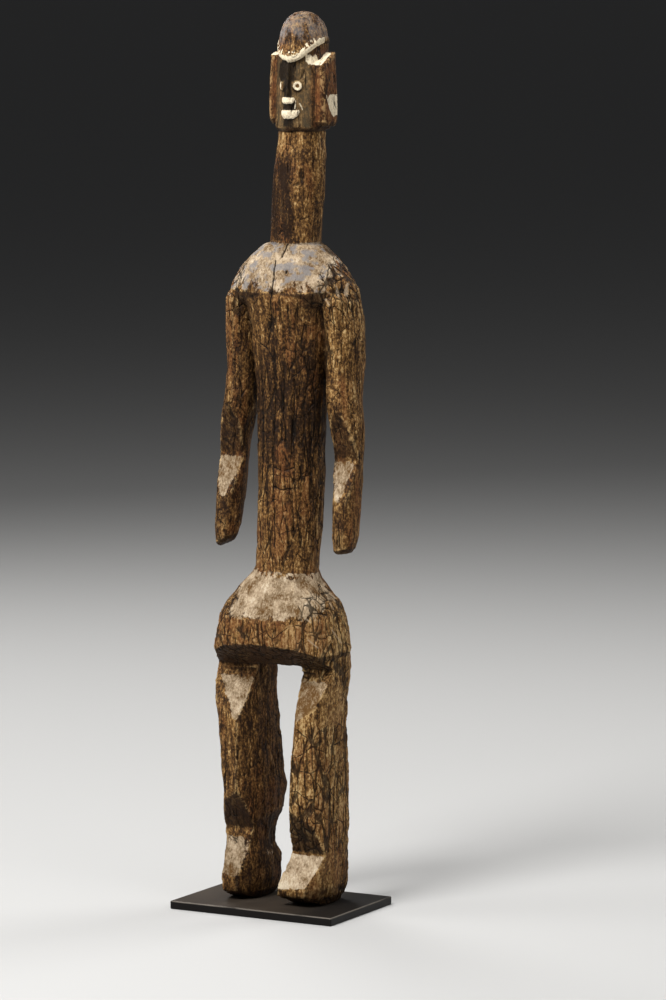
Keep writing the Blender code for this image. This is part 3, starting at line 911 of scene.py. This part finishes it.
@dataclass(frozen=True)
class PatinatedWood(Finish):
    """Old hard wood under a dark cracked crust, worn to ochre, pale where it faces up, painted white, with
    painted light and shade.
    """

    name: str = "patinated_wood"
    # soot is also laid as painted shade in shut-in places.
    soot: Colour = srgb(14, 8, 4)
    # deep is also laid as painted shade under down-facing cuts.
    deep: Colour = srgb(36, 21, 9)
    dark: Colour = srgb(64, 42, 20)
    brown: Colour = srgb(98, 69, 36)
    warm: Colour = srgb(136, 99, 54)
    rust: Colour = srgb(112, 64, 34)
    # ochre is also laid as painted highlight on the worn ridges.
    ochre: Colour = srgb(190, 158, 108)
    olive: Colour = srgb(90, 79, 58)
    # pale, cream and stone colour the pale deposit on up-facing cuts, which is also painted top light.
    pale: Colour = srgb(184, 162, 134)
    cream: Colour = srgb(214, 198, 172)
    stone: Colour = srgb(142, 122, 96)
    # Lays the painted bluish sheen on the dome and in spots on the pale tops.
    slate_sheen: Colour = srgb(132, 130, 130)
    paint: Colour = srgb(240, 224, 192)
    depth: float = 0.0013
    shine: float = 0.12

    def sockets(self, tree: Tree) -> dict[str, object]:
        """The layers of the wood, over its fine relief.

        Args:
            tree: The material's tree.

        Returns:
            Each socket of the surface with what feeds it.
        """
        layers = WoodLayers(self, tree, Carving(tree))
        return {
            "Normal": tree.bumped(1.0, self.depth, layers.height()),
            "Base Color": layers.colour(),
            "Roughness": layers.roughness(),
            "Specular IOR Level": self.shine,
        }


class WoodLayers:
    """The layers of the wood's finish, each written over the one before."""

    EYES = (((36.4, -23.0, 983.4), 99.0), ((15.3, -23.0, 983.4), 13.6))
    PUPIL = 1.2
    IRIS = 3.0
    RING = (2.4, 5.1)

    def __init__(self, finish: PatinatedWood, tree: Tree, carving: Carving) -> None:
        """Works out the fields that more than one layer uses.

        Args:
            finish: The colours.
            tree: The material's tree.
            carving: The carved surface.
        """
        self.finish = finish
        self.tree = tree
        self.carving = carving
        place = carving.place
        self.grain = tree.noise(carving.wander, (2.0, 2.0, 26), 3.0, 0.65, shift=4.0)
        self.streak = tree.noise(carving.wander, (6, 6, 80), 2.0, 0.6, shift=5.0)
        self.mottle = tree.noise(carving.wander, (9, 9, 15), 4.0, 0.65, shift=6.0)
        self.speck = tree.noise(place, (2.6, 2.6, 3.6), 3.0, 0.75, shift=8.0)
        self.edge = tree.kept(Kept.EDGE)
        self.blocks = carving.blocks()
        self.splits = carving.splits()
        ragged = (self.mottle - 0.5) * 2.2 + (self.speck - 0.5) * 0.5
        # The pale deposit on up-facing cuts, which is also painted top light.
        self.pale_on_top = (tree.kept(Kept.DUST) + ragged).above(0.0, 0.13)

    def ground(self) -> bpy.types.NodeSocket:
        """The bare browns: streaked along the grain, flecked, and warmer in patches.

        Returns:
            The colour.
        """
        f, tree = self.finish, self.tree
        flecks = tree.chance(tree.cells(self.carving.place, (1.9, 1.9, 3.6), shift=13.0))
        tone = (
            0.465
            + (self.grain - 0.5) * 1.1
            + (self.streak - 0.5) * 1.0
            + (self.mottle - 0.5) * 1.05
            + (self.speck - 0.5) * 1.8
            + (flecks - 0.5) * 0.24
            # The kept shade holds each part's own tone, and the light and shade painted on it.
            + tree.kept(Kept.SHADE)
        )
        colour = tree.ramp(
            tone, (0.06, f.deep), (0.3, f.dark), (0.5, f.brown), (0.71, f.warm), (1.0, f.ochre)
        )
        patches = tree.noise(self.carving.place, (34, 34, 60), 2.0, 0.5, shift=11.0)
        rusty = patches.above(0.55, 0.08) * self.streak.above(0.48, 0.14)
        return tree.blend(rusty * tone.above(0.28, 0.16) * 0.45, colour, f.rust)

    def tinted(self, colour: bpy.types.NodeSocket) -> bpy.types.NodeSocket:
        """The tints that whole parts of the figure have, and the painted bluish sheen on the dome.

        Args:
            colour: What lies under it.

        Returns:
            The colour with this layer over it.
        """
        f, tree = self.finish, self.tree
        rust, olive, slate_sheen = tree.split(tree.kept_vector(Kept.TINTS))
        colour = tree.blend(rust * self.mottle.above(0.49, 0.12), colour, f.rust)
        colour = tree.blend(olive, colour, f.olive)
        # Painted bluish sheen on the dome.
        return tree.blend(slate_sheen * self.mottle.above(0.48, 0.1), colour, f.slate_sheen)

    def dusted_and_top_lit(self, colour: bpy.types.NodeSocket) -> bpy.types.NodeSocket:
        """The pale deposit on what faces up, cream and stone grey and also painted top light, with spots of
        painted bluish sheen.

        Args:
            colour: What lies under it.

        Returns:
            The colour with this layer over it.
        """
        f, tree, c = self.finish, self.tree, self.carving
        broad = tree.noise(c.place, (22, 22, 22), 4.0, 0.55, shift=15.0)
        fine = (self.speck - 0.5) * 1.0 + (self.grain - 0.5) * 0.7
        tone = 0.52 + (broad - 0.5) * 1.5 + fine + tree.kept(Kept.PALE)
        dust = tree.ramp(tone, (0.12, f.brown), (0.34, f.stone), (0.58, f.pale), (0.86, f.cream))
        # Spots of painted bluish sheen on the pale tops.
        slate_sheen = tree.noise(c.place, (15, 15, 11), 3.0, 0.6, shift=17.0).above(0.54, 0.06)
        dust = tree.blend(slate_sheen * c.z.above(700, 9) * 0.75, dust, f.slate_sheen)
        # Lays the pale deposit, which is also painted top light, over what faces up.
        return tree.blend(self.pale_on_top * 0.93, colour, dust)

    def worn(self, colour: bpy.types.NodeSocket) -> bpy.types.NodeSocket:
        """Worn ridges lighter, with painted highlight on them, and hollows gone dark; painted shade under
        down-facing cuts and in shut-in places.

        Args:
            colour: What lies under it.

        Returns:
            The colour with this layer over it.
        """
        f, tree = self.finish, self.tree
        # Ridges worn to ochre, which is also painted highlight.
        worn_through = (self.speck + (self.mottle - 0.5) * 1.3).above(0.53, 0.12)
        rubbed_and_highlit = self.edge.above(0.34, 0.22) * worn_through
        colour = tree.blend(rubbed_and_highlit * 0.5, colour, f.ochre)
        hollow = self.edge.below(-0.42, 0.34)
        colour = tree.blend(hollow * 0.6, colour, f.deep)
        # Painted shade under down-facing cuts.
        under = (tree.kept(Kept.FACING) + (self.mottle - 0.5) * 0.2).below(-0.26, 0.12)
        colour = tree.blend(under * 0.84, colour, f.deep)
        # Painted shade in places that the rest of the figure shuts in.
        shut_in_shade = tree.kept(Kept.SKY).below(0.45, 0.3)
        return tree.blend(shut_in_shade * 0.85, colour, f.soot)

    def painted(self, colour: bpy.types.NodeSocket) -> bpy.types.NodeSocket:
        """Soot on the nose and mouth, and white paint on the cap's rim, the ears, the eyes and the lips.

        Args:
            colour: What lies under it.

        Returns:
            The colour with this layer over it.
        """
        f, tree, c = self.finish, self.tree, self.carving
        ragged = (tree.noise(c.place, (2.2, 2.2, 3.0), 2.0, shift=21.0) - 0.5) * 2.0
        soot = (tree.kept(Kept.SOOT) + ragged + (self.mottle - 0.5) * 9.0).above(0.4, 1.5)
        colour = tree.blend(soot * 0.9, colour, f.soot)
        over = tree.kept(Kept.RIM) + ragged * 0.8
        drips = (tree.noise(c.place, (2.6, 2.6, 9.0), 1.0, shift=23.0) * 11 - 5.5).clamped() * 6
        white = over.above(-1.2, 0.4) * (over - drips).below(6.0, 0.6) * c.y.below(9.7, 1.0)
        white = tree.largest(white, (tree.kept(Kept.PAINT) + ragged).above(0.0, 0.4))
        strokes = tree.nearest(c.flat(Face.FRONT, 0.2), PAINT_STROKES).below(0.5, 0.5)
        white = tree.largest(white, strokes * self.speck.above(0.46, 0.06) * c.y.below(-10, 2) * 0.8)
        for eye, shown in self.EYES:
            away = tree.measure("DISTANCE", c.place, eye) + ragged * 0.5
            iris = tree.blend(away.below(self.PUPIL, 0.4), f.brown, f.soot)
            colour = tree.blend(away.below(self.IRIS, 0.4), colour, iris)
            white = tree.largest(white, away.between(*self.RING, 0.35) * c.x.below(shown, 0.4))
        chalk = tree.blend(self.speck.below(0.45, 0.08) * 0.6, f.paint, f.pale)
        return tree.blend(white, colour, chalk)

    def marked(self, colour: bpy.types.NodeSocket) -> bpy.types.NodeSocket:
        """Dark cracks and splits, and pale scratches and flakes.

        Args:
            colour: What lies under it.

        Returns:
            The colour with this layer over it.
        """
        f, tree, c = self.finish, self.tree, self.carving
        colour = tree.blend(self.blocks * 0.8, colour, f.soot)
        colour = tree.blend(self.splits * 0.9, colour, f.soot)
        front = c.y.below(4, 4) * c.x.above(40, 4)
        place = c.flat(Face.LEFT_FRONT, 0.6)
        scratched = tree.nearest(place, SCRATCHES).below(0.8, 0.6) * front
        colour = tree.blend(scratched * 0.6, colour, f.pale)
        flaked = (tree.nearest(place, FLAKES) + (self.mottle - 0.5) * 14).below(1.4, 1.0) * front
        return tree.blend(flaked * 0.55, colour, f.pale)

    def colour(self) -> bpy.types.NodeSocket:
        """All the layers, from the ground up.

        Returns:
            The colour.
        """
        colour = self.ground()
        for layer in (self.tinted, self.dusted_and_top_lit, self.worn, self.painted, self.marked):
            colour = layer(colour)
        return colour

    def roughness(self) -> Field:
        """Duller on the pale deposit, and a little uneven all over."""
        return (0.62 + self.pale_on_top * 0.25 + (self.speck - 0.5) * 0.3).clamped()

    def height(self) -> Field:
        """Fine relief under what the mesh shows: fibre, pits, and the cracks between blocks."""
        return self.grain * 0.7 + self.mottle * 0.7 + self.speck * 0.9 - self.blocks * 0.7


@dataclass(frozen=True)
class BlackenedSteel(Finish):
    """Blackened steel, satin with a thin pale deposit on top, and a painted highlight along its upper edges.
    """

    name: str = "blackened_steel"
    black: Colour = srgb(19, 16, 14)
    bloom: Colour = srgb(84, 73, 62)
    # Metal specks on top, and the painted highlight along the upper edge.
    bare_and_highlight: Colour = srgb(128, 120, 110)
    depth: float = 0.0003

    def sockets(self, tree: Tree) -> dict[str, object]:
        """Clouded black, a pale bloom of deposit on top, and a painted highlight along the upper edge.

        Args:
            tree: The material's tree.

        Returns:
            Each socket of the surface with what feeds it.
        """
        place = tree.place()
        x, y, z = tree.split(place)
        cloud = tree.noise(place, (40, 40, 40), 4.0, 0.6)
        fine = tree.noise(place, (1.2, 1.2, 1.2), 2.0, 0.6, shift=3.0)
        brushed = tree.noise(place, (60, 0.7, 8), 2.0, 0.5, shift=5.0)
        on_top = z.above(9.6, 0.15)
        pale_on_top = on_top * (0.25 + cloud * 0.7) * (1.0 - x.above(52, 34) * 0.9)
        colour = tree.blend(pale_on_top, self.black, self.bloom)
        specks = fine.above(0.68, 0.03) * on_top * 0.35
        colour = tree.blend(specks, colour, self.bare_and_highlight)
        # A painted highlight along the upper edge, broken by the cloud.
        out = tree.largest(abs(x) - Plate.WIDTH / 2, abs(y) - Plate.DEPTH / 2)
        arris = out.above(-1.3, 0.35) * z.above(8.8, 0.4)
        colour = tree.blend(arris * cloud.above(0.4, 0.15) * 0.7, colour, self.bare_and_highlight)
        rough = 0.36 + cloud * 0.16 + brushed * 0.1 + on_top * 0.06
        return {
            "Normal": tree.bumped(0.25, self.depth, cloud * 0.6 + fine * 0.3 + brushed * 0.4),
            "Base Color": colour,
            "Metallic": 0.35,
            "Specular IOR Level": 0.24,
            "Roughness": rough.clamped(),
        }


@dataclass(frozen=True)
class PaleFloor(Finish):
    """A plain pale floor."""

    name: str = "pale_floor"
    colour: Colour = srgb(194, 193, 191)

    def sockets(self, tree: Tree) -> dict[str, object]:
        """One dull colour."""
        return {"Base Color": self.colour, "Roughness": 0.8, "Specular IOR Level": 0.2}


def read_rows(items: bpy.types.bpy_prop_collection, name: str, width: int, kind: type) -> np.ndarray:
    """Reads one property of every item.

    Args:
        items: A mesh's points or edges.
        name: The property.
        width: How many numbers it has.
        kind: The type of each number.

    Returns:
        The numbers, with a row for each item.
    """
    numbers = np.empty(len(items) * width, kind)
    items.foreach_get(name, numbers)
    return numbers.reshape(-1, width)


@dataclass
class Figure:
    """The carved figure: an even skin over its solid, carved and dressed."""

    voxel: float = 0.0012
    quick_voxel: float = 0.002
    most_triangles: int = 192_000
    sole: float = 0.01032
    sky_rays: int = 20
    sky_reach: float = 0.06
    sky_start: float = 0.0022
    sky_grazing: float = 0.12
    sky_steps: int = 6
    weld: float = 1e-6
    seed: int = 7

    def build(self) -> bpy.types.Object:
        """Makes the piece and lets it stand for its solid.

        Returns:
            The piece.
        """
        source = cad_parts["figure"]
        piece = bpy.data.objects.new("carved_figure", self.welded(source))
        bpy.context.scene.collection.objects.link(piece)
        self.skin(piece)
        self.carve(piece)
        self.thin(piece)
        self.keep_off_plate(piece.data)
        self.measure_sky(piece.data, source.data)
        piece.data.shade_smooth()
        piece.data.materials.clear()
        piece.data.materials.append(PatinatedWood().build())
        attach(piece, "root")
        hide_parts("figure")
        return piece

    def welded(self, source: bpy.types.Object) -> bpy.types.Mesh:
        """A copy of the solid's mesh with its split points joined.

        Args:
            source: The solid.

        Returns:
            The mesh.
        """
        shape = bmesh.new()
        shape.from_mesh(source.data)
        bmesh.ops.remove_doubles(shape, verts=shape.verts, dist=self.weld)
        mesh = bpy.data.meshes.new("carved_figure")
        shape.to_mesh(mesh)
        shape.free()
        return mesh

    def apply(self, piece: bpy.types.Object) -> None:
        """Makes what the modifiers show the piece's own mesh.

        Args:
            piece: The piece, whose modifiers are cleared.
        """
        bpy.context.view_layer.update()
        graph = bpy.context.evaluated_depsgraph_get()
        mesh = bpy.data.meshes.new_from_object(piece.evaluated_get(graph), depsgraph=graph)
        piece.modifiers.clear()
        piece.data = mesh

    def skin(self, piece: bpy.types.Object) -> None:
        """Gives the piece an even skin of small faces.

        Args:
            piece: The piece.
        """
        remesh = piece.modifiers.new("skin", "REMESH")
        remesh.mode = "VOXEL"
        remesh.voxel_size = self.voxel
        self.apply(piece)

    def carve(self, piece: bpy.types.Object) -> None:
        """Carves the skin with the relief.

        Args:
            piece: The piece.
        """
        carve = piece.modifiers.new("carve", "NODES")
        carve.node_group = Relief("carving").build()
        self.apply(piece)

    def thin(self, piece: bpy.types.Object) -> None:
        """Takes faces away where the surface needs them least, down to the number of triangles set for the
        figure.

        Args:
            piece: The piece.
        """
        triangles = sum(len(polygon.vertices) - 2 for polygon in piece.data.polygons)
        if triangles > self.most_triangles:
            fewer = piece.modifiers.new("thin", "DECIMATE")
            fewer.ratio = self.most_triangles / triangles
            fewer.use_collapse_triangulate = True
            self.apply(piece)
        LOG.info("skin: %d triangles, then %d faces", triangles, len(piece.data.polygons))

    def keep_off_plate(self, mesh: bpy.types.Mesh) -> None:
        """Keeps the soles flat, just over the plate.

        Args:
            mesh: The piece's mesh.
        """
        points = read_rows(mesh.vertices, "co", 3, np.float32)
        points[:, 2] = np.maximum(points[:, 2], self.sole)
        mesh.vertices.foreach_set("co", points.ravel())
        mesh.update()

    def measure_sky(self, mesh: bpy.types.Mesh, solid: bpy.types.Mesh) -> None:
        """Keeps with each point how open it lies, from 0 in a shut corner to 1 in the open.

        Args:
            mesh: The piece's mesh.
            solid: The solid's mesh, which the rays are tested against.
        """
        solid.calc_loop_triangles()
        corners = [vertex.co for vertex in solid.vertices]
        tree = BVHTree.FromPolygons(corners, [tuple(t.vertices) for t in solid.loop_triangles])
        rng = np.random.default_rng(self.seed)
        rays = rng.normal(size=(self.sky_rays, 3))
        rays /= np.linalg.norm(rays, axis=1)[:, None]
        directions = [Vector(ray) for ray in rays]
        facing = read_rows(mesh.vertices, "normal", 3, np.float32) @ rays.T > self.sky_grazing
        values = np.zeros(len(mesh.vertices), np.float32)
        for index, vertex in enumerate(mesh.vertices):
            start = vertex.co + vertex.normal * self.sky_start
            seen = [directions[ray] for ray in np.flatnonzero(facing[index])]
            free = sum(1 for way in seen if tree.ray_cast(start, way, self.sky_reach)[0] is None)
            values[index] = free / max(1, len(seen))
        layer = mesh.attributes.new(Kept.SKY.value, "FLOAT", "POINT")
        layer.data.foreach_set("value", self.evened(mesh, values))

    def evened(self, mesh: bpy.types.Mesh, values: np.ndarray) -> np.ndarray:
        """Numbers at the points, evened out over the mesh's edges.

        Args:
            mesh: The mesh.
            values: One number for each point.

        Returns:
            The evened numbers.
        """
        ends = read_rows(mesh.edges, "vertices", 2, np.int32)
        count = len(values)
        degree = np.bincount(ends.ravel(), minlength=count).clip(1)
        for _ in range(self.sky_steps):
            total = np.bincount(ends[:, 0], values[ends[:, 1]], count)
            total += np.bincount(ends[:, 1], values[ends[:, 0]], count)
            values = (values + total / degree) / 2
        return values.astype(np.float32)


@dataclass
class Plate:
    """The steel plate under the figure, whose solid is shown as it is."""

    WIDTH = 220.0
    DEPTH = 152.0

    def build(self) -> bpy.types.Object:
        """Dresses the solid.

        Returns:
            The solid's object.
        """
        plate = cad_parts["base_plate"]
        plate.data.materials.clear()
        plate.data.materials.append(BlackenedSteel().build())
        return plate


def direction(azimuth: float, elevation: float) -> Vector:
    """The way out from the figure, turned from its front towards its left and raised, in degrees."""
    turn, rise = math.radians(azimuth), math.radians(elevation)
    return Vector((math.sin(turn) * math.cos(rise), -math.cos(turn) * math.cos(rise), math.sin(rise)))


@dataclass
class Softbox:
    """One large soft lamp, aimed at the figure's middle."""

    name: str
    azimuth: float
    elevation: float
    distance: float
    size: float
    power: float

    def build(self, target: Vector) -> bpy.types.Object:
        """Hangs the lamp.

        Args:
            target: What it is aimed at.

        Returns:
            The lamp.
        """
        lamp = bpy.data.lights.new(self.name, "AREA")
        lamp.shape = "DISK"
        lamp.size = self.size
        lamp.energy = self.power
        made = bpy.data.objects.new(self.name, lamp)
        out = direction(self.azimuth, self.elevation)
        made.location = target + out * self.distance
        made.rotation_euler = out.to_track_quat("Z", "Y").to_euler()
        bpy.context.scene.collection.objects.link(made)
        return made


@dataclass
class Studio:
    """The pale floor, the soft light and the camera."""

    floor_size: float = 1400.0
    ambient: float = 0.035
    azimuth: float = 28.8
    elevation: float = 6.39
    distance: float = 5.5
    lens: float = 166.4
    sensor: float = 36.0
    target: Point = (0.0, 0.0, 0.4917)
    aside: float = 0.0623
    lit: Point = (0.0, 0.0, 0.55)

    def lamps(self) -> Iterable[Softbox]:
        """The lamps: a key above the camera's left, a fill, two behind, one aside and one overhead.

        Returns:
            The lamps.
        """
        return (
            Softbox("key", -10.0, 46.0, 3.0, 1.2, 104.0),
            Softbox("fill", 70.0, 22.0, 3.2, 1.8, 15.0),
            Softbox("behind_left", 150.0, 35.0, 3.2, 1.6, 40.0),
            Softbox("behind_right", 235.0, 35.0, 3.2, 1.6, 40.0),
            Softbox("side", 300.0, 25.0, 3.2, 1.6, 26.0),
            Softbox("above", 20.0, 80.0, 3.4, 2.4, 36.0),
        )

    def build(self) -> None:
        """Makes the floor, the light and the camera."""
        self.build_floor()
        self.build_world()
        for lamp in self.lamps():
            lamp.build(Vector(self.lit))
        self.build_camera()
        bpy.context.scene.view_settings.view_transform = "Standard"

    def build_floor(self) -> None:
        """Lays the floor under the plate."""
        half = self.floor_size / 2
        mesh = bpy.data.meshes.new("floor")
        corners = [(-half, -half, 0), (half, -half, 0), (half, half, 0), (-half, half, 0)]
        mesh.from_pydata(corners, [], [(0, 1, 2, 3)])
        mesh.materials.append(PaleFloor().build())
        floor = bpy.data.objects.new("floor", mesh)
        bpy.context.scene.collection.objects.link(floor)

    def build_world(self) -> None:
        """Fills the room with even light."""
        world = bpy.data.worlds.new("room")
        world.use_nodes = True
        world.node_tree.nodes.clear()
        tree = Tree(world.node_tree)
        sockets = {"Color": srgb(236, 238, 242), "Strength": self.ambient}
        light = tree.node("ShaderNodeBackground", None, sockets)
        tree.node("ShaderNodeOutputWorld", None, {"Surface": light.outputs[0]})
        bpy.context.scene.world = world

    def build_camera(self) -> None:
        """Sets the camera where the photograph was taken from."""
        back = direction(self.azimuth, self.elevation)
        right = direction(self.azimuth + 90, 0)
        up = back.cross(right)
        data = bpy.data.cameras.new("camera")
        data.lens = self.lens
        data.sensor_width = self.sensor
        camera = bpy.data.objects.new("camera", data)
        place = Vector(self.target) + right * self.aside + back * self.distance
        camera.matrix_world = Matrix.Translation(place) @ Matrix((right, up, back)).transposed().to_4x4()
        bpy.context.scene.collection.objects.link(camera)
        bpy.context.scene.camera = camera


def main() -> None:
    """Builds the pieces in order and reports each."""
    logging.basicConfig(level=logging.INFO, format="%(message)s")
    Studio().build()
    for part in (Plate(), Figure()):
        made = part.build()
        LOG.info("%s: %d faces", made.name, len(made.data.polygons))


if __name__ == "__main__":
    main()
